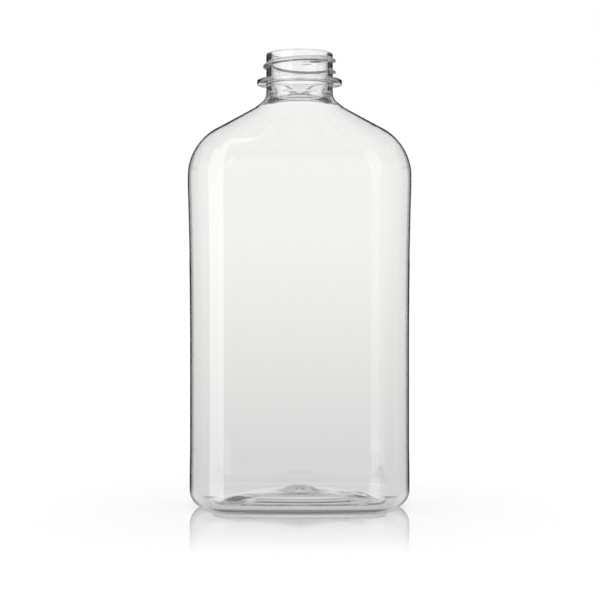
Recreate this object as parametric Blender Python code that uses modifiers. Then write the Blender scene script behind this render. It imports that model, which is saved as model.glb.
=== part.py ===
"""A clear oblong bottle with a screw-thread neck, in metres, standing on z = 0.

The outside and the cavity are lofts that run from an oblong foot to a round neck.
The support ring is a turned profile and the thread is a ridge swept along a helix.
Boolean modifiers join ring and thread to the outside and then open the cavity.
The broad front of the bottle faces -Y.
"""

import math

import bmesh
import bpy
import numpy as np

# Body, measured over the full swell of the shoulder
SHOULDER_WIDTH = 0.08374
SHOULDER_DEPTH = 0.0508
BOTTLE_HEIGHT = 0.1692
SHOULDER_RADIUS = 0.020
SIDE_SLOPE = math.radians(28.5)
FRONT_SLOPE = math.radians(52.8)

# Oblong section: side arc, corner arc and broad front arc, split at two normal angles
CORNER_RADIUS = 0.014
SIDE_ARC_END = math.radians(30)
CORNER_ARC_END = math.radians(82)
ROUND_CORNER_ARC_END = math.radians(60)
SMALLEST_CORNER_SHARE = 0.38
PANEL_SHARES = (0, 0.2, 0.5, 1)

# Panels drawn in between the shoulder and the foot
PANEL_INSET = 0.00095
FOOT_INSET = 0.00080
PANEL_TOP = 0.120
WAIST_TOP = 0.060
WAIST_BOTTOM = 0.022
FOOT_TOP = 0.012

# Neck finish
NECK_DIAMETER = 0.0250
NECK_WALL = 0.0019
FINISH_HEIGHT = 0.01005
RING_REACH = 0.0034
RING_THICKNESS = 0.0016
RING_CHAMFER = 0.0003
RING_DRAFT = 0.0002
NECK_STUB_LENGTH = 0.00533
RIM_RADIUS = 0.0005
MOUTH_CHAMFER = 0.00035

# Root of the neck, a steeper collar before the long shoulder slope
ROOT_SLOPE = math.radians(37.5)
ROOT_REACH = 0.0047
ROOT_FILLET = 0.005
COLLAR_FILLET = 0.012

# Thread, one start, rising anticlockwise seen from above
THREAD_PITCH = 0.004233
THREAD_REACH = 0.00115
THREAD_CREST = 0.0005
THREAD_LOWER_FLANK = 0.0003
THREAD_UPPER_FLANK = 0.0011
THREAD_DROP = 0.0070
THREAD_START = math.radians(-28)
THREAD_END = math.radians(448)
THREAD_FADE = math.radians(34)
THREAD_BURY = 0.0005

# Standing band and pushed-up base
FOOT_RADIUS = 0.0062
FOOT_BAND = 0.0012
HEEL_RISE = 0.0018
HEEL_RUN = 0.0018
DOME_HEIGHT = 0.0054
WELL_DIAMETER = 0.0146
WELL_FLOOR_DIAMETER = 0.0094
WELL_DEPTH = 0.0014
GATE_DIAMETER = 0.0036
GATE_LENGTH = 0.0007
GATE_DRAFT = 0.0003

# Walls below the neck
BODY_WALL = 0.0005
HEEL_WALL = 0.00055
BASE_WALL = 0.0009
WELL_WALL = 0.0013
FLARE_RISE = 0.0030
FLARE_DROP = 0.0020

# Counts of points
QUARTER_SIDE_STEPS = 3
QUARTER_CORNER_STEPS = 6
QUARTER_FRONT_STEPS = 3
ARC_STEPS = 7
FILLET_STEPS = 4
COLLAR_STEPS = 1
DOME_STEPS = 6
THREAD_STEP = math.radians(9)
RING_STEPS = 64

# How the base dome and the floor of its well fall away from their middles
DOME_POWER_SHARE = 1.35
WELL_FALL_SHARE = 0.33

# Working distances
CUTTER_OVERRUN = 0.002
LEAST_RING_SPACING = 0.0002
SHARP_ANGLE = math.radians(30)
MERGE_DISTANCE = 0.00001

shoulder_half_width = SHOULDER_WIDTH / 2
shoulder_half_depth = SHOULDER_DEPTH / 2
neck_radius = NECK_DIAMETER / 2
bore_radius = neck_radius - NECK_WALL
ring_radius = neck_radius + RING_REACH
root_radius = neck_radius + ROOT_REACH
thread_radius = neck_radius + THREAD_REACH
ring_top = BOTTLE_HEIGHT - FINISH_HEIGHT
ring_bottom = ring_top - RING_THICKNESS
root_height = ring_bottom - NECK_STUB_LENGTH


def clear_objects():
    """Empties the scene."""
    for thing in list(bpy.data.objects):
        bpy.data.objects.remove(thing, do_unlink=True)


def make_collection(name):
    """Adds a collection to the scene."""
    collection = bpy.data.collections.new(name)
    bpy.context.scene.collection.children.link(collection)
    return collection


def make_material():
    """The clear, faintly warm plastic of the whole bottle."""
    material = bpy.data.materials.new("clear_plastic")
    material.use_nodes = True
    shader = material.node_tree.nodes["Principled BSDF"]
    shader.inputs["Base Color"].default_value = (0.96, 0.97, 0.96, 1)
    shader.inputs["Roughness"].default_value = 0.04
    shader.inputs["Metallic"].default_value = 0
    shader.inputs["IOR"].default_value = 1.57
    shader.inputs["Transmission Weight"].default_value = 1
    return material


def unit(vector):
    """The vector at length one."""
    return vector / np.linalg.norm(vector)


def rounded_path(corners, radii, steps):
    """Points along straight runs whose inner corners are replaced by arcs."""
    corners = [np.array(corner) for corner in corners]
    points = [corners[0]]
    bends = zip(corners, corners[1:], corners[2:], radii, steps)
    for before, corner, after, radius, count in bends:
        back = unit(before - corner)
        onward = unit(after - corner)
        half_angle = math.acos(np.clip(back @ onward, -1, 1)) / 2
        room = min(np.linalg.norm(before - corner), np.linalg.norm(after - corner)) / 2
        tangent = min(radius / math.tan(half_angle), room)
        fitted = tangent * math.tan(half_angle)
        centre = corner + unit(back + onward) * fitted / math.sin(half_angle)
        first = corner + back * tangent - centre
        last = corner + onward * tangent - centre
        turn = math.acos(np.clip(unit(first) @ unit(last), -1, 1))
        for index in range(count + 1):
            share = index / count
            blend = first * math.sin((1 - share) * turn) + last * math.sin(share * turn)
            points.append(centre + blend / math.sin(turn))
    points.append(corners[-1])
    return np.array(points)


def shoulder_corner(half_size, slope):
    """Height at which the shoulder's slope would meet the upright wall."""
    return root_height - (half_size - neck_radius) * math.tan(slope)


def side_path():
    """Half width against height of the outside, from the ring down to the foot."""
    collar_height = root_height - ROOT_REACH * math.tan(ROOT_SLOPE)
    corner_height = collar_height - (shoulder_half_width - root_radius) * math.tan(SIDE_SLOPE)
    corners = [
        (neck_radius, ring_bottom),
        (neck_radius, root_height),
        (root_radius, collar_height),
        (shoulder_half_width, corner_height),
        (shoulder_half_width, 0),
        (0, 0),
    ]
    radii = (ROOT_FILLET, COLLAR_FILLET, SHOULDER_RADIUS, FOOT_RADIUS)
    return rounded_path(corners, radii, (FILLET_STEPS, COLLAR_STEPS, ARC_STEPS, FILLET_STEPS))


def front_path():
    """Half depth against height of the outside, from the ring down to the foot."""
    corners = [
        (neck_radius, ring_bottom),
        (neck_radius, root_height),
        (shoulder_half_depth, shoulder_corner(shoulder_half_depth, FRONT_SLOPE)),
        (shoulder_half_depth, 0),
        (0, 0),
    ]
    radii = (ROOT_FILLET, SHOULDER_RADIUS, FOOT_RADIUS)
    return rounded_path(corners, radii, (ARC_STEPS, 2 * ARC_STEPS, 2 * FILLET_STEPS))


def size_at(path, height):
    """The half size that a path has at a height."""
    upright = path[:-1]
    return float(np.interp(height, upright[::-1, 1], upright[::-1, 0]))


def panel_inset(height):
    """How far the walls are drawn in at a height, easing in below the shoulder."""
    if height >= WAIST_TOP:
        share = np.clip((PANEL_TOP - height) / (PANEL_TOP - WAIST_TOP), 0, 1)
        return float(PANEL_INSET * (1 - (1 - share) ** 2))
    return float(np.interp(height, (FOOT_TOP, WAIST_BOTTOM), (FOOT_INSET, PANEL_INSET)))


def wall_at(height):
    """Wall thickness, thick in the neck and thin from just below its root."""
    heights = (0, FOOT_TOP, root_height - FLARE_DROP, root_height + FLARE_RISE)
    walls = (HEEL_WALL, BODY_WALL, BODY_WALL, NECK_WALL)
    return float(np.interp(height, heights, walls))


def oblong_share(height):
    """0 where the section is round at the neck, 1 where it is fully oblong."""
    lowest = shoulder_corner(shoulder_half_depth, FRONT_SLOPE)
    share = np.clip((root_height - height) / (root_height - lowest), 0, 1)
    return float(share * share * (3 - 2 * share))


def normal_angles(share):
    """Angles of the section's normals, even when round and arc by arc when oblong."""
    counts = (QUARTER_SIDE_STEPS, QUARTER_CORNER_STEPS, QUARTER_FRONT_STEPS)
    bounds = (0, SIDE_ARC_END, CORNER_ARC_END, math.pi / 2)
    oblong = [0]
    for start, end, count in zip(bounds, bounds[1:], counts):
        oblong.extend(start + (end - start) * (index + 1) / count for index in range(count))
    even = np.linspace(0, math.pi / 2, sum(counts) + 1)
    quarter = even + (np.array(oblong) - even) * share
    half = np.concatenate([quarter, math.pi - quarter[-2::-1]])
    return np.concatenate([half, half[1:-1] + math.pi])


def section(half_width, half_depth, height, share):
    """One closed ring of the loft, as points round the bottle."""
    corner = CORNER_RADIUS - (shoulder_half_depth - PANEL_INSET - half_depth)
    corner = max(corner, SMALLEST_CORNER_SHARE * half_depth)
    corner = half_depth + (corner - half_depth) * share
    corner_end = ROUND_CORNER_ARC_END + (CORNER_ARC_END - ROUND_CORNER_ARC_END) * share
    cos_1, sin_1 = math.cos(SIDE_ARC_END), math.sin(SIDE_ARC_END)
    cos_2, sin_2 = math.cos(corner_end), math.sin(corner_end)
    matrix = np.array([[1 - cos_1, cos_2], [sin_1, 1 - sin_2]])
    rest = np.array([
        half_width - corner * (cos_1 - cos_2),
        half_depth - corner * (sin_2 - sin_1),
    ])
    side, front = np.linalg.solve(matrix, rest)
    corner_x = half_width - side + (side - corner) * cos_1
    corner_y = (side - corner) * sin_1
    ring = []
    for angle in normal_angles(share):
        folded_cos, folded_sin = abs(math.cos(angle)), abs(math.sin(angle))
        folded = math.atan2(folded_sin, folded_cos)
        if folded <= SIDE_ARC_END:
            x, y = half_width - side + side * folded_cos, side * folded_sin
        elif folded <= corner_end:
            x, y = corner_x + corner * folded_cos, corner_y + corner * folded_sin
        else:
            x, y = front * folded_cos, half_depth - front + front * folded_sin
        ring.append((math.copysign(x, math.cos(angle)), math.copysign(y, math.sin(angle)), height))
    return ring


def round_section(radius, height):
    """A round ring of the loft."""
    return section(radius, radius, height, 0)


def skin(name, loops):
    """A closed body through loops of equal count, capped at both ends."""
    mesh = bpy.data.meshes.new(name)
    work = bmesh.new()
    rows = [[work.verts.new(point) for point in loop] for loop in loops]
    for row, following in zip(rows, rows[1:]):
        count = len(row)
        for index in range(count):
            after = (index + 1) % count
            work.faces.new((row[index], row[after], following[after], following[index]))
    work.faces.new(rows[0])
    work.faces.new(rows[-1])
    bmesh.ops.recalc_face_normals(work, faces=work.faces)
    work.to_mesh(mesh)
    work.free()
    return bpy.data.objects.new(name, mesh)


def base_half_sizes(share):
    """Half width and half depth of the dome, 0 at the well and 1 at the heel."""
    foot_width = shoulder_half_width - FOOT_INSET - FOOT_RADIUS - FOOT_BAND - HEEL_RUN
    foot_depth = shoulder_half_depth - FOOT_INSET - FOOT_RADIUS - FOOT_BAND - HEEL_RUN
    well = WELL_DIAMETER / 2
    return well + (foot_width - well) * share, well + (foot_depth - well) * share


def dome_height(share):
    """Height of the dome's underside, 0 at the well and 1 at the heel."""
    return HEEL_RISE + (DOME_HEIGHT - HEEL_RISE) * (1 - share ** DOME_POWER_SHARE)


def outside_base():
    """Rings of the underside, from the gate to the inner edge of the standing band."""
    gate = GATE_DIAMETER / 2
    well_height = DOME_HEIGHT + WELL_DEPTH
    rings = [
        round_section(gate - GATE_DRAFT, well_height - GATE_LENGTH),
        round_section(gate, well_height),
        round_section(WELL_FLOOR_DIAMETER / 2, well_height),
    ]
    for index in range(DOME_STEPS + 1):
        share = index / DOME_STEPS
        width, depth = base_half_sizes(share)
        rings.append(section(width, depth, dome_height(share), share))
    width, depth = base_half_sizes(1)
    rings.append(section(width + HEEL_RUN, depth + HEEL_RUN, 0, 1))
    return rings


def inside_base():
    """Rings of the floor inside, from the middle to the channel over the foot."""
    well_height = DOME_HEIGHT + WELL_DEPTH + WELL_WALL
    fall = well_height - DOME_HEIGHT - BASE_WALL
    rings = [
        round_section(GATE_DIAMETER / 2, well_height),
        round_section(WELL_FLOOR_DIAMETER / 2, well_height - WELL_FALL_SHARE * fall),
    ]
    for index in range(DOME_STEPS + 1):
        share = index / DOME_STEPS
        width, depth = base_half_sizes(share)
        pull = BASE_WALL * share / 2
        rings.append(section(width - pull, depth - pull, dome_height(share) + BASE_WALL, share))
    width, depth = base_half_sizes(1)
    rings.append(section(width + HEEL_RUN, depth + HEEL_RUN, HEEL_WALL, 1))
    return rings


def loft_heights(path):
    """A path's own heights with those of the panels, none too near its neighbour."""
    panel = [PANEL_TOP + (WAIST_TOP - PANEL_TOP) * share for share in PANEL_SHARES]
    heights = []
    for height in sorted([*path[:-1, 1], *panel, WAIST_BOTTOM, FOOT_TOP]):
        if not heights or height - heights[-1] > LEAST_RING_SPACING:
            heights.append(float(height))
    return heights


def drawn_in(path):
    """A path from the foot up, with the panels drawn in."""
    return np.array([(size_at(path, height) - panel_inset(height), height)
                     for height in loft_heights(path)])


def thinned(path):
    """A path moved inward by the wall's thickness, square to itself, below the neck."""
    moved = []
    for point, step in zip(path, np.gradient(path, axis=0)):
        inward = unit(np.array((-step[1], step[0])))
        moved.append(point + inward * wall_at(point[1]))
    return np.array([point for point in moved if point[0] > bore_radius])


def wall_rings(side, front):
    """Rings of the loft at the heights of the side path."""
    rings = []
    for width, height in side:
        depth = float(np.interp(height, front[:, 1], front[:, 0]))
        rings.append(section(width, depth, height, oblong_share(height)))
    return rings


def outside_wall():
    """Rings of the outside, from the standing band up to the ring's underside."""
    return wall_rings(drawn_in(side_path()), drawn_in(front_path()))


def inside_wall():
    """Rings of the cavity, from the channel over the foot up past the rim."""
    side, front = thinned(drawn_in(side_path())), thinned(drawn_in(front_path()))
    channel = max(side[0, 1], front[0, 1])
    rings = wall_rings([point for point in side if point[1] > channel], front)
    mouth = bore_radius + MOUTH_CHAMFER
    rings.append(round_section(bore_radius, ring_bottom))
    rings.append(round_section(bore_radius, BOTTLE_HEIGHT - MOUTH_CHAMFER))
    rings.append(round_section(mouth, BOTTLE_HEIGHT))
    rings.append(round_section(mouth, BOTTLE_HEIGHT + CUTTER_OVERRUN))
    return rings


def rim():
    """Rings that round the outer edge of the mouth."""
    rings = []
    for index in range(FILLET_STEPS + 1):
        turn = math.pi / 2 * index / FILLET_STEPS
        radius = neck_radius - RIM_RADIUS * (1 - math.cos(turn))
        rings.append(round_section(radius, BOTTLE_HEIGHT - RIM_RADIUS * (1 - math.sin(turn))))
    return rings


def turned(name, profile, steps):
    """A solid of revolution about the bottle's axis, from a closed profile."""
    mesh = bpy.data.meshes.new(name)
    points = [(radius, 0, height) for radius, height in profile]
    edges = [(index, (index + 1) % len(points)) for index in range(len(points))]
    mesh.from_pydata(points, edges, [])
    turned_object = bpy.data.objects.new(name, mesh)
    screw = turned_object.modifiers.new("turn", "SCREW")
    screw.axis = "Z"
    screw.steps = steps
    screw.render_steps = steps
    screw.use_merge_vertices = True
    screw.merge_threshold = MERGE_DISTANCE
    return turned_object


def support_ring():
    """The flange below the thread, sunk halfway into the neck wall."""
    inner = neck_radius - NECK_WALL / 2
    profile = [
        (inner, ring_top + RING_DRAFT),
        (neck_radius, ring_top + RING_DRAFT),
        (ring_radius - RING_CHAMFER, ring_top),
        (ring_radius, ring_top - RING_CHAMFER),
        (ring_radius, ring_bottom + RING_CHAMFER),
        (ring_radius - RING_CHAMFER, ring_bottom),
        (inner, ring_bottom),
    ]
    return turned("support_ring", profile, RING_STEPS)


def thread():
    """The thread's ridge, which rises out of the neck and fades back into it."""
    sunk = neck_radius - THREAD_BURY / 2
    base_height = BOTTLE_HEIGHT - THREAD_DROP
    count = math.ceil((THREAD_END - THREAD_START) / THREAD_STEP)
    loops = []
    for index in range(count + 1):
        angle = THREAD_START + (THREAD_END - THREAD_START) * index / count
        from_end = min(angle - THREAD_START, THREAD_END - angle)
        rise = min(from_end / THREAD_FADE, 1)
        swell = math.sin(rise * math.pi / 2)
        crest = sunk + (thread_radius - sunk) * swell
        middle = base_height + THREAD_PITCH * angle / (2 * math.pi)
        profile = [
            (neck_radius - THREAD_BURY, middle - THREAD_CREST / 2 - THREAD_LOWER_FLANK),
            (crest, middle - THREAD_CREST / 2),
            (crest, middle + THREAD_CREST / 2),
            (neck_radius - THREAD_BURY, middle + THREAD_CREST / 2 + THREAD_UPPER_FLANK),
        ]
        loops.append([(r * math.cos(angle), r * math.sin(angle), z) for r, z in profile])
    return skin("thread", loops)


def smooth(thing):
    """Smooth shading that keeps the real edges sharp."""
    thing.data.shade_smooth()
    thing.data.set_sharp_from_angle(angle=SHARP_ANGLE)


def combine(target, tool, operation):
    """Adds or cuts another body with a Boolean modifier."""
    boolean = target.modifiers.new(tool.name, "BOOLEAN")
    boolean.operation = operation
    boolean.solver = "EXACT"
    boolean.object = tool


def build():
    """Makes the bottle."""
    clear_objects()
    product = make_collection("bottle_parts")
    tools = make_collection("bottle_tools")
    bottle = skin("bottle", outside_base() + outside_wall() + rim())
    bottle.data.materials.append(make_material())
    smooth(bottle)
    product.objects.link(bottle)
    cavity = skin("cavity", inside_base() + inside_wall())
    for tool, operation in ((support_ring(), "UNION"), (thread(), "UNION"), (cavity, "DIFFERENCE")):
        tools.objects.link(tool)
        tool.hide_render = True
        tool.display_type = "WIRE"
        combine(bottle, tool, operation)


build()
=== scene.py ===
"""A clear oblong bottle on a glossy pale floor, seen level from the front.

The bottle is one closed skin of plastic, outside and inside, made of fine rings round its axis.
It keeps the sizes of the CAD part, in metres, with the mouldings and thicknesses that show in its looks.
The studio round it is the world's shader, a level for each direction, which the walls bend and mirror.
"""

import math
from collections import namedtuple

import bpy
import numpy as np
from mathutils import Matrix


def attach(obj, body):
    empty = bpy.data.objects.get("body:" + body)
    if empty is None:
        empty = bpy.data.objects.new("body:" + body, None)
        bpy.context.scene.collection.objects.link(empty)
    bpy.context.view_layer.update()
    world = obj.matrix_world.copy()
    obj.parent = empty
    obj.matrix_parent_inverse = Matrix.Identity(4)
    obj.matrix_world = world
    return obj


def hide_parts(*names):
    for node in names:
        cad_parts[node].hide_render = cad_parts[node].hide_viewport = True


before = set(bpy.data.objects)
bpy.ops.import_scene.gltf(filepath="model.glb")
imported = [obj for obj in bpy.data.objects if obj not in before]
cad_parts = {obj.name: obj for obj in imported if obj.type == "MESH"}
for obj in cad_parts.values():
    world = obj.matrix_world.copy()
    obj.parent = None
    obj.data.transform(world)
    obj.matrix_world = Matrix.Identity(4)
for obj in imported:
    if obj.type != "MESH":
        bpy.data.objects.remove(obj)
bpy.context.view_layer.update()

# Body, measured over the full swell of the shoulder
SHOULDER_WIDTH = 0.08374
SHOULDER_DEPTH = 0.0508
BOTTLE_HEIGHT = 0.1692
SHOULDER_RADIUS = 0.020
SIDE_SLOPE = math.radians(28.5)
FRONT_SLOPE = math.radians(52.8)

# Oblong section: side arc, corner arc and broad front arc, split at two normal angles
CORNER_RADIUS = 0.014
SIDE_ARC_END = math.radians(30)
CORNER_ARC_END = math.radians(82)
ROUND_CORNER_ARC_END = math.radians(60)
SMALLEST_CORNER_SHARE = 0.38

# Panels drawn in between the shoulder and the foot
PANEL_INSET = 0.00095
FOOT_INSET = 0.00080
PANEL_TOP = 0.120
WAIST_TOP = 0.060
WAIST_BOTTOM = 0.022
FOOT_TOP = 0.012

# Neck finish
NECK_DIAMETER = 0.0250
NECK_WALL = 0.0019
FINISH_HEIGHT = 0.01005
RING_REACH = 0.0034
RING_THICKNESS = 0.0016
RING_ROUNDING = 0.00028
RING_FILLET = 0.00025
RING_DRAFT = 0.0002
NECK_STUB_LENGTH = 0.00533
RIM_RADIUS = 0.0006
MOUTH_RADIUS = 0.00035

# Root of the neck, a steeper collar before the long shoulder slope
ROOT_SLOPE = math.radians(37.5)
ROOT_REACH = 0.0047
ROOT_FILLET = 0.005
COLLAR_FILLET = 0.012

# Thread, one start, rising anticlockwise seen from above
THREAD_PITCH = 0.004233
THREAD_REACH = 0.00115
THREAD_CREST = 0.0005
THREAD_LOWER_FLANK = 0.0003
THREAD_UPPER_FLANK = 0.00095
THREAD_ROUNDING = 0.00022
THREAD_DROP = 0.0070
THREAD_START = math.radians(-28)
THREAD_END = math.radians(448)
THREAD_FADE = math.radians(34)

# Standing band and pushed-up base
FOOT_RADIUS = 0.0062
FOOT_BAND = 0.0012
HEEL_RISE = 0.0018
HEEL_RUN = 0.0018
HEEL_LAND = 0.0004
DOME_HEIGHT = 0.0054
WELL_DIAMETER = 0.0146
WELL_FLOOR_DIAMETER = 0.0094
WELL_DEPTH = 0.0014
GATE_DIAMETER = 0.0036
GATE_LENGTH = 0.0007
GATE_DRAFT = 0.0003
DOME_POWER_SHARE = 1.7
DOME_OBLONG_SHARE = 2.5
WELL_FALL_SHARE = 0.33

# Resin gathered in the floor inside: place across and in depth, height, half width and half depth of each
SWELLINGS = (
    (-0.0236, -0.0100, 0.0014, 0.0042, 0.0026),
    (0.0225, -0.0050, 0.0015, 0.0042, 0.0022),
    (0.001, -0.0036, 0.0017, 0.0048, 0.0019),
)

# Walls below the neck, and how far over and under the neck's root they thicken to the neck's wall
BODY_WALL = 0.0005
HEEL_WALL = 0.00055
BASE_WALL = 0.0009
WELL_WALL = 0.0013
FLARE_TOP = 0.0030
FLARE_DROP = 0.0034

# Counts and spacings of points
QUARTER_SIDE_STEPS = 14
QUARTER_CORNER_STEPS = 38
QUARTER_FRONT_STEPS = 16
ARC_STEPS = 40
RING_STEPS = 5
RIM_STEPS = 8
MOUTH_STEPS = 6
BORE_STEPS = 12
DOME_STEPS = 40
PANEL_ROWS = 60
THREAD_ROW = 0.000035
LEAST_ROW = 0.00012
MOST_ROW = 0.0025
PROFILE_HALF_WIDTH = 0.003
PROFILE_POINTS = 1201
HEEL_SHARES = (0, 0.06, 0.2, 0.4, 0.6, 0.8, 0.94, 1)
HEEL_POWER = 1.3
JOIN_STEP = 0.00001

shoulder_half_width = SHOULDER_WIDTH / 2
shoulder_half_depth = SHOULDER_DEPTH / 2
neck_radius = NECK_DIAMETER / 2
bore_radius = neck_radius - NECK_WALL
ring_radius = neck_radius + RING_REACH
root_radius = neck_radius + ROOT_REACH
ring_top = BOTTLE_HEIGHT - FINISH_HEIGHT
ring_bottom = ring_top - RING_THICKNESS
fillet_bottom = ring_bottom - RING_FILLET * 2
fillet_top = ring_top + RING_DRAFT + RING_FILLET * 2
root_height = ring_bottom - NECK_STUB_LENGTH


def unit(vector):
    """The vector at length one."""
    return vector / np.linalg.norm(vector)


def eased(share):
    """A share from 0 to 1 with a soft start and a soft end."""
    return share * share * (3 - 2 * share)


def rounded_path(corners, radii, count):
    """Points along straight runs whose inner corners are replaced by arcs."""
    corners = [np.array(corner, float) for corner in corners]
    points = [corners[0]]
    for before, corner, after, radius in zip(corners, corners[1:], corners[2:], radii):
        back = unit(before - corner)
        onward = unit(after - corner)
        half_angle = math.acos(np.clip(back @ onward, -1, 1)) / 2
        room = min(np.linalg.norm(before - corner), np.linalg.norm(after - corner)) / 2
        tangent = min(radius / math.tan(half_angle), room)
        fitted = tangent * math.tan(half_angle)
        centre = corner + unit(back + onward) * fitted / math.sin(half_angle)
        first = corner + back * tangent - centre
        last = corner + onward * tangent - centre
        turn = math.acos(np.clip(unit(first) @ unit(last), -1, 1))
        for index in range(count + 1):
            share = index / count
            mixed = first * math.sin((1 - share) * turn) + last * math.sin(share * turn)
            points.append(centre + mixed / math.sin(turn))
    points.append(corners[-1])
    return np.array(points)


def shoulder_corner(half_size, slope):
    """Height at which the shoulder's slope would meet the upright wall."""
    return root_height - (half_size - neck_radius) * math.tan(slope)


def side_path():
    """Half width against height of the outside, from the ring down to the foot."""
    collar_height = root_height - ROOT_REACH * math.tan(ROOT_SLOPE)
    corner_height = collar_height - (shoulder_half_width - root_radius) * math.tan(SIDE_SLOPE)
    corners = [
        (neck_radius, ring_bottom),
        (neck_radius, root_height),
        (root_radius, collar_height),
        (shoulder_half_width, corner_height),
        (shoulder_half_width, 0),
        (0, 0),
    ]
    radii = (ROOT_FILLET, COLLAR_FILLET, SHOULDER_RADIUS, FOOT_RADIUS)
    return rounded_path(corners, radii, ARC_STEPS)


def front_path():
    """Half depth against height of the outside, from the ring down to the foot."""
    corners = [
        (neck_radius, ring_bottom),
        (neck_radius, root_height),
        (shoulder_half_depth, shoulder_corner(shoulder_half_depth, FRONT_SLOPE)),
        (shoulder_half_depth, 0),
        (0, 0),
    ]
    return rounded_path(corners, (ROOT_FILLET, SHOULDER_RADIUS, FOOT_RADIUS), ARC_STEPS)


def panel_inset(height):
    """How far the walls are drawn in at a height, easing in below the shoulder."""
    share = np.clip((PANEL_TOP - height) / (PANEL_TOP - WAIST_TOP), 0, 1)
    upper = PANEL_INSET * (1 - (1 - share) ** 2)
    lower = np.interp(height, (FOOT_TOP, WAIST_BOTTOM), (FOOT_INSET, PANEL_INSET))
    return np.where(height >= WAIST_TOP, upper, lower)


def wall_at(height):
    """Wall thickness, thick at the root of the neck and thin down the body."""
    body = np.interp(height, (0, FOOT_TOP), (HEEL_WALL, BODY_WALL))
    share = np.clip((height - root_height + FLARE_DROP) / (FLARE_TOP + FLARE_DROP), 0, 1)
    return body + (NECK_WALL - body) * eased(share)


def oblong_share(height):
    """0 where the section is round at the neck, 1 where it is fully oblong."""
    lowest = shoulder_corner(shoulder_half_depth, FRONT_SLOPE)
    share = np.clip((root_height - height) / (root_height - lowest), 0, 1)
    return float(eased(share))


def normal_angles(share):
    """Angles of the section's normals, even when round and arc by arc when oblong."""
    counts = (QUARTER_SIDE_STEPS, QUARTER_CORNER_STEPS, QUARTER_FRONT_STEPS)
    limits = (0, SIDE_ARC_END, CORNER_ARC_END, math.pi / 2)
    oblong = [0]
    for start, end, count in zip(limits, limits[1:], counts):
        oblong.extend(start + (end - start) * (index + 1) / count for index in range(count))
    even = np.linspace(0, math.pi / 2, sum(counts) + 1)
    quarter = even + (np.array(oblong) - even) * share
    half = np.concatenate([quarter, math.pi - quarter[-2::-1]])
    return np.concatenate([half, half[1:-1] + math.pi])


def section(half_width, half_depth, height, share):
    """One closed ring of the loft, as points round the bottle."""
    corner = CORNER_RADIUS - (shoulder_half_depth - PANEL_INSET - half_depth)
    corner = max(corner, SMALLEST_CORNER_SHARE * half_depth)
    corner = half_depth + (corner - half_depth) * share
    corner_end = ROUND_CORNER_ARC_END + (CORNER_ARC_END - ROUND_CORNER_ARC_END) * share
    cos_1 = math.cos(SIDE_ARC_END)
    sin_1 = math.sin(SIDE_ARC_END)
    cos_2 = math.cos(corner_end)
    sin_2 = math.sin(corner_end)
    matrix = np.array([[1 - cos_1, cos_2], [sin_1, 1 - sin_2]])
    rest = np.array([
        half_width - corner * (cos_1 - cos_2),
        half_depth - corner * (sin_2 - sin_1),
    ])
    side, front = np.linalg.solve(matrix, rest)
    corner_x = half_width - side + (side - corner) * cos_1
    corner_y = (side - corner) * sin_1
    angles = normal_angles(share)
    cosines = np.abs(np.cos(angles))
    sines = np.abs(np.sin(angles))
    folded = np.arctan2(sines, cosines)
    on_side = folded <= SIDE_ARC_END
    on_corner = folded <= corner_end
    x = np.where(on_corner, corner_x + corner * cosines, front * cosines)
    y = np.where(on_corner, corner_y + corner * sines, half_depth - front + front * sines)
    x = np.where(on_side, half_width - side + side * cosines, x)
    y = np.where(on_side, side * sines, y)
    x = np.copysign(x, np.cos(angles))
    y = np.copysign(y, np.sin(angles))
    return np.stack([x, y, np.full_like(x, height)], axis=1)


def round_section(radius, height):
    """A round ring of the loft."""
    return section(radius, radius, height, 0)


def base_half_sizes(share):
    """Half width and half depth of the dome, 0 at the well and 1 at the heel."""
    foot_width = shoulder_half_width - FOOT_INSET - FOOT_RADIUS - FOOT_BAND - HEEL_RUN
    foot_depth = shoulder_half_depth - FOOT_INSET - FOOT_RADIUS - FOOT_BAND - HEEL_RUN
    well = WELL_DIAMETER / 2
    return well + (foot_width - well) * share, well + (foot_depth - well) * share


def dome_height(share):
    """Height of the dome's underside, 0 at the well and 1 at the heel."""
    return HEEL_RISE + (DOME_HEIGHT - HEEL_RISE) * (1 - share ** DOME_POWER_SHARE)


def outside_base():
    """Rings of the underside, from the gate to the inner edge of the standing band."""
    gate = GATE_DIAMETER / 2
    well_height = DOME_HEIGHT + WELL_DEPTH
    rings = [
        round_section(gate / 2, well_height - GATE_LENGTH),
        round_section(gate - GATE_DRAFT, well_height - GATE_LENGTH),
        round_section(gate, well_height),
        round_section(WELL_FLOOR_DIAMETER / 2, well_height),
    ]
    for share in np.linspace(0, 1, DOME_STEPS):
        rings.append(section(*base_half_sizes(share), dome_height(share), share ** DOME_OBLONG_SHARE))
    width, depth = base_half_sizes(1)
    for share in HEEL_SHARES:
        run = HEEL_LAND + (HEEL_RUN - HEEL_LAND) * share
        rings.append(section(width + run, depth + run, HEEL_RISE * (1 - share) ** HEEL_POWER, 1))
    return rings


def swollen(ring):
    """A ring of the floor inside, raised where the resin gathered."""
    for across, deep, height, half_width, half_depth in SWELLINGS:
        gap = ((ring[:, 0] - across) / half_width) ** 2 + ((ring[:, 1] - deep) / half_depth) ** 2
        ring[:, 2] += height * np.exp(-gap)
    return ring


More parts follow.
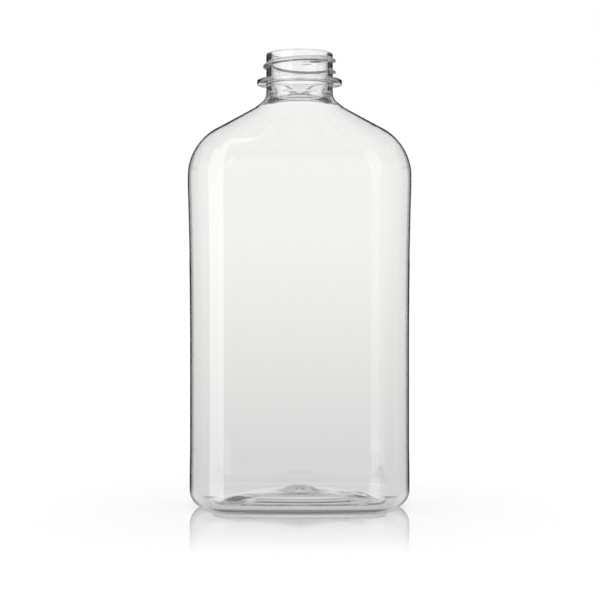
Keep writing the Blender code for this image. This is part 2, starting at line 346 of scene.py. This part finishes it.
def inside_base():
    """Rings of the floor inside, from the middle to the channel over the foot."""
    gate = GATE_DIAMETER / 2
    well_height = DOME_HEIGHT + WELL_DEPTH + WELL_WALL
    fall = well_height - DOME_HEIGHT - BASE_WALL
    rings = [
        round_section(gate / 2, well_height),
        round_section(gate, well_height),
        round_section(WELL_FLOOR_DIAMETER / 2, well_height - WELL_FALL_SHARE * fall),
    ]
    for share in np.linspace(0, 1, DOME_STEPS):
        width, depth = base_half_sizes(share)
        pull = BASE_WALL * share / 2
        height = dome_height(share) + BASE_WALL
        ring = section(width - pull, depth - pull, height, share ** DOME_OBLONG_SHARE)
        rings.append(swollen(ring))
    width, depth = base_half_sizes(1)
    for share in HEEL_SHARES:
        run = HEEL_LAND + (HEEL_RUN - HEEL_LAND) * share
        height = HEEL_WALL + (HEEL_RISE + BASE_WALL - HEEL_WALL) * (1 - share) ** HEEL_POWER
        rings.append(section(width + run, depth + run, height, 1))
    return rings


def loft_heights():
    """Heights of the wall's rows, close together where either path bends."""
    bends = [*side_path()[:-1, 1], *front_path()[:-1, 1]]
    heights = []
    for height in sorted([*bends, *np.linspace(FOOT_RADIUS, PANEL_TOP, PANEL_ROWS)]):
        while heights and height - heights[-1] > MOST_ROW:
            heights.append(heights[-1] + MOST_ROW)
        if not heights or height - heights[-1] > LEAST_ROW:
            heights.append(float(height))
    return np.array(heights)


def drawn_in(path):
    """A path from the foot up, with the panels drawn in."""
    heights = loft_heights()
    upright = path[:-1][::-1]
    sizes = np.interp(heights, upright[:, 1], upright[:, 0])
    return np.stack([sizes - panel_inset(heights), heights], axis=1)


def thinned(path):
    """A path moved inward by the wall's thickness, square to itself, below the neck."""
    steps = np.gradient(path, axis=0)
    steps /= np.linalg.norm(steps, axis=1)[:, None]
    inward = np.stack([-steps[:, 1], steps[:, 0]], axis=1)
    moved = path + inward * wall_at(path[:, 1])[:, None]
    return moved[moved[:, 0] > bore_radius + JOIN_STEP]


def wall_rings(side, front):
    """Rings of the loft at the heights of the side path."""
    rings = []
    for width, height in side:
        depth = float(np.interp(height, front[:, 1], front[:, 0]))
        rings.append(section(width, depth, height, oblong_share(height)))
    return rings


def outside_wall():
    """Rings of the outside, from the standing band up to just under the ring."""
    side = drawn_in(side_path())
    side = side[side[:, 1] < fillet_bottom - LEAST_ROW]
    return wall_rings(side, drawn_in(front_path()))


def inside_wall():
    """Rings of the cavity, from the channel over the foot up to the mouth."""
    side = thinned(drawn_in(side_path()))
    front = thinned(drawn_in(front_path()))
    channel = max(side[0, 1], front[0, 1])
    side = side[side[:, 1] > channel]
    rings = wall_rings(side, front)
    for height in np.linspace(side[-1, 1] + MOST_ROW / 2, BOTTLE_HEIGHT - MOUTH_RADIUS, BORE_STEPS):
        rings.append(round_section(bore_radius, height))
    for turn in np.linspace(0, math.pi / 2, MOUTH_STEPS + 1)[1:]:
        radius = bore_radius + MOUTH_RADIUS * (1 - math.cos(turn))
        rings.append(round_section(radius, BOTTLE_HEIGHT - MOUTH_RADIUS * (1 - math.sin(turn))))
    return rings


def support_ring():
    """Rings round the flange below the thread, from its root below to its root above."""
    corners = [
        (neck_radius, fillet_bottom),
        (neck_radius, ring_bottom),
        (ring_radius, ring_bottom),
        (ring_radius, ring_top),
        (neck_radius, ring_top + RING_DRAFT),
        (neck_radius, fillet_top),
    ]
    radii = (RING_FILLET, RING_ROUNDING, RING_ROUNDING, RING_FILLET)
    path = rounded_path(corners, radii, RING_STEPS)
    return [round_section(radius, height) for radius, height in path]


def thread_profile(offset):
    """How far the thread stands out at an offset above its middle line, as a share."""
    fine = np.linspace(-PROFILE_HALF_WIDTH, PROFILE_HALF_WIDTH, PROFILE_POINTS)
    half = THREAD_CREST / 2
    corners = (-half - THREAD_LOWER_FLANK, -half, half, half + THREAD_UPPER_FLANK)
    sharp = np.interp(fine, corners, (0, 1, 1, 0))
    # An odd count of weights keeps the rounding centred
    weights = np.hanning(int(2 * THREAD_ROUNDING / (fine[1] - fine[0])) | 1)
    smooth = np.convolve(sharp, weights / weights.sum(), mode="same")
    return np.interp(offset, fine, smooth)


def threaded_neck():
    """Rings from the support ring to the rim, swollen where the thread runs."""
    top = BOTTLE_HEIGHT - RIM_RADIUS
    rings = []
    for height in np.linspace(fillet_top, top, int((top - fillet_top) / THREAD_ROW))[1:]:
        ring = round_section(neck_radius, height)
        angles = np.arctan2(ring[:, 1], ring[:, 0])
        reach = np.zeros(len(ring))
        for turn in (-1, 0, 1):
            run = angles + 2 * math.pi * turn
            from_end = np.minimum(run - THREAD_START, THREAD_END - run)
            rise = np.sin(np.clip(from_end / THREAD_FADE, 0, 1) * math.pi / 2)
            middle = BOTTLE_HEIGHT - THREAD_DROP + THREAD_PITCH * run / (2 * math.pi)
            reach = np.maximum(reach, rise * thread_profile(height - middle))
        ring[:, :2] *= (1 + reach * THREAD_REACH / neck_radius)[:, None]
        rings.append(ring)
    return rings


def rim():
    """Rings that round the outer edge of the mouth."""
    rings = []
    for turn in np.linspace(0, math.pi / 2, RIM_STEPS + 1)[1:]:
        radius = neck_radius - RIM_RADIUS * (1 - math.cos(turn))
        rings.append(round_section(radius, BOTTLE_HEIGHT - RIM_RADIUS * (1 - math.sin(turn))))
    return rings


class Graph:
    """A node tree with short ways to add its nodes."""

    def __init__(self, owner):
        owner.use_nodes = True
        self.tree = owner.node_tree
        self.tree.nodes.clear()

    def node(self, kind, **sockets):
        """A new node whose named inputs are values or other nodes' outputs."""
        made = self.tree.nodes.new(kind)
        for name, value in sockets.items():
            self.feed(made.inputs[name.replace("_", " ")], value)
        return made

    def feed(self, socket, value):
        """Links an output to a socket, or sets its value."""
        if isinstance(value, bpy.types.NodeSocket):
            self.tree.links.new(value, socket)
        else:
            socket.default_value = value

    def filled(self, made, *values):
        """The first output of a node, once its inputs hold these values in their order."""
        for socket, value in zip(made.inputs, values):
            self.feed(socket, value)
        return made.outputs[0]

    def math(self, operation, *values):
        """The result of a Math node."""
        made = self.tree.nodes.new("ShaderNodeMath")
        made.operation = operation
        return self.filled(made, *values)

    def plus(self, colour, more):
        """A colour with the same amount added to each channel."""
        made = self.tree.nodes.new("ShaderNodeVectorMath")
        made.operation = "ADD"
        return self.filled(made, colour, more)

    def blend(self, factor, off, on):
        """A Mix Shader."""
        return self.filled(self.tree.nodes.new("ShaderNodeMixShader"), factor, off, on)

    def glow(self, colour):
        """An emission of strength 1."""
        return self.node("ShaderNodeEmission", Color=colour).outputs[0]

    def at_least(self, depth, count):
        """1 where a ray's depth, a whole number, has come to a count."""
        return self.math("GREATER_THAN", depth, count - 0.5)

    def between(self, value, low, high, soft):
        """1 between two limits, easing to 0 over a soft margin outside them."""
        centre = (low + high) / 2
        half = (high - low) / 2
        away = self.math("ABSOLUTE", self.math("SUBTRACT", value, centre))
        eased_off = self.node("ShaderNodeMapRange", Value=away, From_Min=half, From_Max=half + soft,
                              To_Min=1, To_Max=0)
        eased_off.interpolation_type = "SMOOTHSTEP"
        return eased_off.outputs[0]

    def over(self, value, low, soft):
        """1 above a limit, easing to 0 over a soft margin below it."""
        return self.between(value, low, BEYOND, soft)

    def patch(self, angle, rise, limits):
        """1 where an angle and a rise both lie within a patch of the studio."""
        across = self.between(angle, *limits.angles, limits.angle_soft)
        upward = self.between(rise, *limits.rises, limits.rise_soft)
        return self.math("MULTIPLY", across, upward)

    def span(self, value, places, results):
        """A straight run from one result to another between two places."""
        made = self.node("ShaderNodeMapRange", Value=value, From_Min=places[0], From_Max=places[1],
                         To_Min=results[0], To_Max=results[1])
        return made.outputs[0]

    def levels(self, value, limits, stops):
        """A ramp of colours against a value, each stop being a place and a level or a colour."""
        low, high = limits
        scaled = self.node("ShaderNodeMapRange", Value=value, From_Min=low, From_Max=high)
        made = self.node("ShaderNodeValToRGB", Fac=scaled.outputs[0])
        elements = made.color_ramp.elements
        elements.remove(elements[-1])
        for index, (place, level) in enumerate(stops):
            share = (place - low) / (high - low)
            element = elements[0] if index == 0 else elements.new(share)
            element.position = share
            element.color = level if isinstance(level, tuple) else grey(level)
        return made.outputs[0]

    def mix(self, factor, off, on):
        """A blend of two colours, each given as a colour, a level or a socket."""
        made = self.node("ShaderNodeMix", Factor=factor)
        made.data_type = "RGBA"
        colours = [socket for socket in made.inputs if socket.type == "RGBA"]
        for socket, value in zip(colours, (off, on)):
            self.feed(socket, grey(value) if isinstance(value, (int, float)) else value)
        return next(socket for socket in made.outputs if socket.type == "RGBA")


def grey(level):
    """A level as a colour."""
    return (level, level, level, 1)


# The plastic: its refraction, the faint unevenness of its gloss, and its tint through the wall
PLASTIC_IOR = 1.57
UNEVEN_SCALE = 60
UNEVEN_DETAIL = 3
UNEVEN_ROUGHNESS = 0.02
TINT = (0.55, 0.60, 0.62, 1)
TINT_DENSITY = 30


def plastic():
    """Clear glossy plastic with a faint unevenness and a little absorption."""
    material = bpy.data.materials.new("clear_plastic")
    graph = Graph(material)
    place = graph.node("ShaderNodeTexCoord").outputs["Object"]
    cloud = graph.node("ShaderNodeTexNoise", Vector=place, Scale=UNEVEN_SCALE, Detail=UNEVEN_DETAIL)
    roughness = graph.span(cloud.outputs["Fac"], (0, 1), (0, UNEVEN_ROUGHNESS))
    shader = graph.node("ShaderNodeBsdfPrincipled", Base_Color=grey(1), IOR=PLASTIC_IOR,
                        Transmission_Weight=1, Roughness=roughness)
    tint = graph.node("ShaderNodeVolumeAbsorption", Color=TINT, Density=TINT_DENSITY)
    graph.node("ShaderNodeOutputMaterial", Surface=shader.outputs["BSDF"], Volume=tint.outputs["Volume"])
    return material


def skin(name, rings):
    """A closed smooth body through rings of equal count, capped at both ends."""
    count = len(rings[0])
    points = np.concatenate(rings)
    faces = []
    for row in range(len(rings) - 1):
        start = row * count
        for index in range(count):
            after = (index + 1) % count
            faces.append((start + index, start + after, start + count + after, start + count + index))
    faces.append(tuple(range(count))[::-1])
    faces.append(tuple(range(len(points) - count, len(points))))
    mesh = bpy.data.meshes.new(name)
    mesh.from_pydata(points.tolist(), [], faces)
    mesh.validate()
    mesh.shade_smooth()
    thing = bpy.data.objects.new(name, mesh)
    bpy.context.scene.collection.objects.link(thing)
    return thing


rings = outside_base() + outside_wall() + support_ring() + threaded_neck() + rim()
rings += (inside_base() + inside_wall())[::-1]
bottle = skin("bottle_skin", rings)
bottle.data.materials.append(plastic())
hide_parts("bottle")
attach(bottle, "root")

# A direction in the studio: its compass angle, 0 behind the bottle and -90 at its left, its angle off
# the middle of the backdrop, both in degrees, and its rise, from -1 straight down to 1 straight up,
# with a rise past them all for limits that are open
Direction = namedtuple("Direction", "angle off rise")
WHOLE_TURN = (-180, 180)
WHOLE_RISE = (-1, 1)
BEYOND = 2

# A patch of the studio: limits in degrees and of rise, with the soft margins outside them
Patch = namedtuple("Patch", "angles angle_soft rises rise_soft")

# How often a ray has bounced, or has crossed a surface of the plastic, before it meets the studio
MIRRORED_BOUNCES = 2
ENTERED_CROSSINGS = 2
THROUGH_CROSSINGS = 3
BASE_CROSSINGS = 6

# Level behind the bottle against the rise, warm above and neutral below
BACKDROP = (
    (-0.7, 0.4), (-0.35, 0.75), (-0.2, 0.8), (-0.16, 0.74), (-0.13, 0.69), (-0.104, 0.69),
    (-0.04, 0.81), (0, 0.88), (0.04, 0.94), (0.17, 0.99),
)
WARM_RISE = (-0.08, -0.04)
WARM_SHARE = 0.98
BACKDROP_ANGLE = 35
BACKDROP_SOFT = 10

# Round the backdrop, to what goes straight through the bottle: its sides, the dark beside it, and above it
SIDE_LEVEL = 0.86
BESIDE = Patch(angles=(40, 58), angle_soft=32, rises=(0.1, BEYOND), rise_soft=0.04)
BESIDE_LEVEL = 0.06
STEEP_RISE = 0.38
STEEP_SOFT = 0.15
STEEP_LEVEL = 0.2

# Level all round for the bottle's reflections, against the compass angle, and overhead
AROUND = (
    (-180, 1.0), (-100, 0.95), (-77, 0.87), (-35, 0.87), (35, 0.85), (70, 0.75), (85, 0.6),
    (120, 0.6), (127, 1.0), (180, 1.0),
)
OVERHEAD_RISE = 0.45
OVERHEAD_SOFT = 0.1
OVERHEAD_LEVEL = 1.2
GAP = Patch(angles=(130, 141), angle_soft=2, rises=(-0.08, 0.12), rise_soft=0.03)
GAP_LEVEL = 0.15

# The soft box at the left front, brighter below, the arch over it, and a low strip at the right front
SOFT_BOX = Patch(angles=(-153, -110), angle_soft=4, rises=(-0.6, 0.45), rise_soft=0.15)
SOFT_BOX_FADE = (-0.12, 0.08)
SOFT_BOX_LEVELS = (1.4, 0.85)
ARCH = Patch(angles=(-163, -118), angle_soft=4, rises=(0.4, 0.72), rise_soft=0.06)
ARCH_OFF = (122, 138)
ARCH_OFF_SOFT = 3
ARCH_LEVEL = 0.9
STRIP = Patch(angles=(142, 161), angle_soft=2, rises=(-0.5, -0.11), rise_soft=0.03)
STRIP_LEVEL = 0.9

# Dark surroundings of the backdrop: angles off it, their stretch against the rise, and the dark's levels
DARK_OFF = (6, 37)
DARK_SOFT = 3
DARK_STRETCH = ((0.08, 1.0), (0.14, 0.95), (0.22, 0.95), (0.34, 1.2), (0.45, 1.3), (0.6, 1.5))
DARK_FADE = (0.3, 0.6)
DARK_LEVELS = (0.02, 0.06)

# Where the dark is less dark: below, to what stays inside a wall and to what glances off the foot,
# straight above the backdrop, and by way of the floor
LOW_RISE = -0.135
LOW_SOFT = 0.06
LOW_LEVEL = 0.38
FOOT_RISE = -0.118
FOOT_SOFT = 0.015
FOOT_LEVEL = 0.3
TOP = Patch(angles=(-12, 12), angle_soft=3, rises=(0.18, 1), rise_soft=0.03)
TOP_LEVEL = 0.1
MIRRORED_RISE = (0.14, 0.155)
MIRRORED_LEVELS = (0.6, 0.03)

# Patches that the outside mirrors: light at the support ring's side, grey at the collar, and a white
# stretch just above the horizon
FLANGE = Patch(angles=(-11, 11), angle_soft=1, rises=(-0.2, -0.14), rise_soft=0.005)
FLANGE_LEVEL = 1.4
COLLAR = Patch(angles=(37, 66), angle_soft=3, rises=(0.13, 0.168), rise_soft=0.008)
COLLAR_LEVEL = 0.35
HORIZON = Patch(angles=(-14, 14), angle_soft=1, rises=(0.03, 0.24), rise_soft=0.01)
HORIZON_LEVEL = 1

# Level above and below the backdrop, to what is mirrored and then crosses more of the bottle
ECHO_RISE = (-0.3, 0.3)
ECHO_SOFT = 0.1
ECHO_LEVEL = 0.85

# Level to rays that cross the floor of the bottle as well as its walls, nearly level ones and steep ones
BASE_FADE = (0.15, 0.42)
BASE_LEVELS = (0.85, 0.08)

# Level to the camera, and to what the studio lights
WHITE = 1
STUDIO_LEVEL = 0.9


def backdrop_stops():
    """The backdrop's colours against the rise of a ray, lowest first."""
    stops = []
    for rise, level in BACKDROP:
        warm = float(np.interp(rise, WARM_RISE, (1, WARM_SHARE)))
        stops.append((rise, (level, level, level * warm, 1)))
    return stops


def backdrop_view(graph, to, echoed):
    """The backdrop, of which echoed rays meet the lower half only."""
    sunk = graph.math("MULTIPLY", graph.math("ABSOLUTE", to.rise), -1)
    drop = graph.math("MULTIPLY", echoed, graph.math("SUBTRACT", sunk, to.rise))
    limits = (BACKDROP[0][0], BACKDROP[-1][0])
    return graph.levels(graph.math("ADD", to.rise, drop), limits, backdrop_stops())


def lamps(graph, to):
    """The soft box, the arch and the strip, as a level to add."""
    fade = graph.span(to.rise, SOFT_BOX_FADE, SOFT_BOX_LEVELS)
    box = graph.math("MULTIPLY", graph.patch(to.angle, to.rise, SOFT_BOX), fade)
    arch = graph.patch(to.angle, to.rise, ARCH)
    arch = graph.math("MULTIPLY", arch, graph.between(to.off, *ARCH_OFF, ARCH_OFF_SOFT))
    box = graph.math("MAXIMUM", box, graph.math("MULTIPLY", arch, ARCH_LEVEL))
    strip = graph.math("MULTIPLY", graph.patch(to.angle, to.rise, STRIP), STRIP_LEVEL)
    return graph.math("MAXIMUM", box, strip)


def straight_view(graph, to, backdrop):
    """What a ray meets that is mirrored nowhere on its way through the bottle."""
    steep = graph.math("SUBTRACT", 1, graph.between(to.rise, -BEYOND, STEEP_RISE, STEEP_SOFT))
    beside = graph.patch(graph.math("ABSOLUTE", to.angle), to.rise, BESIDE)
    return graph.mix(beside, graph.mix(steep, backdrop, STEEP_LEVEL), BESIDE_LEVEL)


def glancing_view(graph, to, surroundings, dark, mirrored):
    """What a ray meets that is mirrored by the outside of the bottle."""
    edge = graph.mix(graph.patch(to.angle, to.rise, TOP), dark, TOP_LEVEL)
    edge = graph.mix(mirrored, edge, graph.span(to.rise, MIRRORED_RISE, MIRRORED_LEVELS))
    edge = graph.mix(graph.over(to.rise, FOOT_RISE, FOOT_SOFT), FOOT_LEVEL, edge)
    stretched = graph.math("MULTIPLY", to.off, graph.levels(to.rise, WHOLE_RISE, DARK_STRETCH))
    view = graph.mix(graph.patch(to.off, to.rise, COLLAR), surroundings, COLLAR_LEVEL)
    view = graph.mix(graph.between(stretched, *DARK_OFF, DARK_SOFT), view, edge)
    view = graph.mix(graph.patch(to.off, to.rise, FLANGE), view, FLANGE_LEVEL)
    return graph.mix(graph.patch(to.angle, to.rise, HORIZON), view, HORIZON_LEVEL)


def studio_world():
    """White to the camera, and a backdrop, its dark surroundings and lamps to the bottle."""
    world = bpy.data.worlds.new("studio")
    bpy.context.scene.world = world
    graph = Graph(world)
    path = graph.node("ShaderNodeLightPath").outputs
    place = graph.node("ShaderNodeTexCoord").outputs["Generated"]
    x, y, z = graph.node("ShaderNodeSeparateXYZ", Vector=place).outputs
    angle = graph.math("DEGREES", graph.math("ARCTAN2", x, y))
    off = graph.math("DEGREES", graph.math("ARCCOSINE", y))
    to = Direction(angle, off, z)

    glossy = graph.at_least(path["Glossy Depth"], 1)
    mirrored = graph.at_least(path["Glossy Depth"], MIRRORED_BOUNCES)
    entered = graph.at_least(path["Transmission Depth"], ENTERED_CROSSINGS)
    through = graph.at_least(path["Transmission Depth"], THROUGH_CROSSINGS)
    based = graph.at_least(path["Transmission Depth"], BASE_CROSSINGS)

    behind = graph.between(to.angle, -BACKDROP_ANGLE, BACKDROP_ANGLE, BACKDROP_SOFT)
    backdrop = backdrop_view(graph, to, graph.math("MULTIPLY", glossy, through))
    around = graph.levels(to.angle, WHOLE_TURN, AROUND)
    around = graph.mix(graph.over(to.rise, OVERHEAD_RISE, OVERHEAD_SOFT), around, OVERHEAD_LEVEL)
    dark = graph.span(to.rise, DARK_FADE, DARK_LEVELS)
    lit = lamps(graph, to)

    # Four views: straight through, mirrored by the outside, mirrored within a wall, and mirrored farther in
    straight = straight_view(graph, to, graph.mix(behind, SIDE_LEVEL, backdrop))
    surroundings = graph.mix(graph.patch(to.angle, to.rise, GAP), around, GAP_LEVEL)
    glance = glancing_view(graph, to, graph.plus(surroundings, lit), dark, mirrored)
    inside = graph.plus(graph.mix(graph.over(to.rise, LOW_RISE, LOW_SOFT), LOW_LEVEL, dark), lit)
    echo = graph.mix(behind, around, backdrop)
    echo = graph.mix(graph.between(to.rise, *ECHO_RISE, ECHO_SOFT), ECHO_LEVEL, echo)
    echo = graph.plus(echo, lit)

    level = graph.mix(entered, glance, graph.mix(through, inside, echo))
    level = graph.mix(glossy, straight, level)
    level = graph.mix(based, level, graph.span(graph.math("ABSOLUTE", to.rise), BASE_FADE, BASE_LEVELS))
    seen = graph.math("MAXIMUM", path["Is Transmission Ray"], path["Is Glossy Ray"])
    level = graph.mix(seen, STUDIO_LEVEL, level)
    level = graph.mix(path["Is Camera Ray"], level, WHITE)
    background = graph.node("ShaderNodeBackground", Color=level)
    graph.node("ShaderNodeOutputWorld", Surface=background.outputs[0])


# The floor's paint, and its reflection, strongest round the foot
FLOOR_HALF_SIZE = 8
FLOOR_PAINT = 0.95
FLOOR_GLOW = 0.2
MIRROR_ROUGHNESS = 0.05
MIRROR_HALF_WIDTH = 0.035
MIRROR_HALF_DEPTH = 0.018
MIRROR_REACH = 0.088
MIRROR_SHARE = 0.70

# Painted shadow on the floor under the bottle, as the bottle sees it: a grey glow standing in for its shade
PAINTED_SHADOW_REACH = 0.006
PAINTED_SHADOW_DEPTH = 0.004
PAINTED_SHADOW_LEVELS = (0.12, 0.58)


def floor_material():
    """Pale paint with a fading reflection, through which the bottle sees the studio, apart from a painted
    shadow under the bottle.
    """
    material = bpy.data.materials.new("floor")
    graph = Graph(material)
    path = graph.node("ShaderNodeLightPath").outputs
    place = graph.node("ShaderNodeTexCoord").outputs["Object"]
    x, y, _ = graph.node("ShaderNodeSeparateXYZ", Vector=place).outputs
    within_width = graph.math("SUBTRACT", MIRROR_HALF_WIDTH, graph.math("ABSOLUTE", x))
    within_depth = graph.math("SUBTRACT", MIRROR_HALF_DEPTH, graph.math("ABSOLUTE", y))
    gaps = [graph.math("MINIMUM", within, 0) for within in (within_width, within_depth)]
    squares = [graph.math("MULTIPLY", gap, gap) for gap in gaps]
    away = graph.math("SQRT", graph.math("ADD", *squares))

    paint = graph.node("ShaderNodeBsdfDiffuse", Color=grey(FLOOR_PAINT)).outputs[0]
    lit = graph.filled(graph.node("ShaderNodeAddShader"), paint, graph.glow(grey(FLOOR_GLOW)))
    shine = graph.node("ShaderNodeBsdfGlossy", Roughness=MIRROR_ROUGHNESS, Color=grey(1)).outputs[0]
    top = graph.blend(graph.span(away, (0, MIRROR_REACH), (MIRROR_SHARE, 0)), lit, shine)

    # Painted shadow under the foot: a grey glow, darkest at its front and back edges, shown to the bottle's
    # rays in place of the clear floor
    painted_shadow_mask = graph.span(away, (0, PAINTED_SHADOW_REACH), (1, 0))
    painted_shadow = graph.glow(graph.span(within_depth, (0, PAINTED_SHADOW_DEPTH), PAINTED_SHADOW_LEVELS))
    clear = graph.blend(painted_shadow_mask, graph.node("ShaderNodeBsdfTransparent").outputs[0], painted_shadow)
    seen = graph.math("MAXIMUM", path["Is Transmission Ray"], path["Is Glossy Ray"])
    graph.node("ShaderNodeOutputMaterial", Surface=graph.blend(seen, top, clear))
    return material


def studio_floor():
    """A wide flat floor at the bottle's foot."""
    size = FLOOR_HALF_SIZE
    corners = [(-size, -size, 0), (size, -size, 0), (size, size, 0), (-size, size, 0)]
    mesh = bpy.data.meshes.new("floor")
    mesh.from_pydata(corners, [], [(0, 1, 2, 3)])
    mesh.materials.append(floor_material())
    floor = bpy.data.objects.new("floor", mesh)
    bpy.context.scene.collection.objects.link(floor)


# The camera, level in front of the bottle, with its focal length in pixels of the picture
FOCAL_PIXELS = 1509
PICTURE_PIXELS = 600
SENSOR_WIDTH = 36
CAMERA_PLACE = (0.00016, -0.565, 0.07706)
NEAREST_SEEN = 0.05
FARTHEST_SEEN = 50


def camera():
    """A level camera in front of the bottle."""
    data = bpy.data.cameras.new("camera")
    data.sensor_width = SENSOR_WIDTH
    data.lens = SENSOR_WIDTH * FOCAL_PIXELS / PICTURE_PIXELS
    data.clip_start = NEAREST_SEEN
    data.clip_end = FARTHEST_SEEN
    thing = bpy.data.objects.new("camera", data)
    thing.location = CAMERA_PLACE
    thing.rotation_euler = (math.pi / 2, 0, 0)
    bpy.context.scene.collection.objects.link(thing)
    bpy.context.scene.camera = thing


studio_world()
studio_floor()
camera()

scene = bpy.context.scene
scene.view_settings.view_transform = "Standard"

# Bounces enough for the many surfaces of clear walls seen through each other
scene.cycles.max_bounces = 48
scene.cycles.transmission_bounces = 32
scene.cycles.glossy_bounces = 32
scene.cycles.transparent_max_bounces = 16
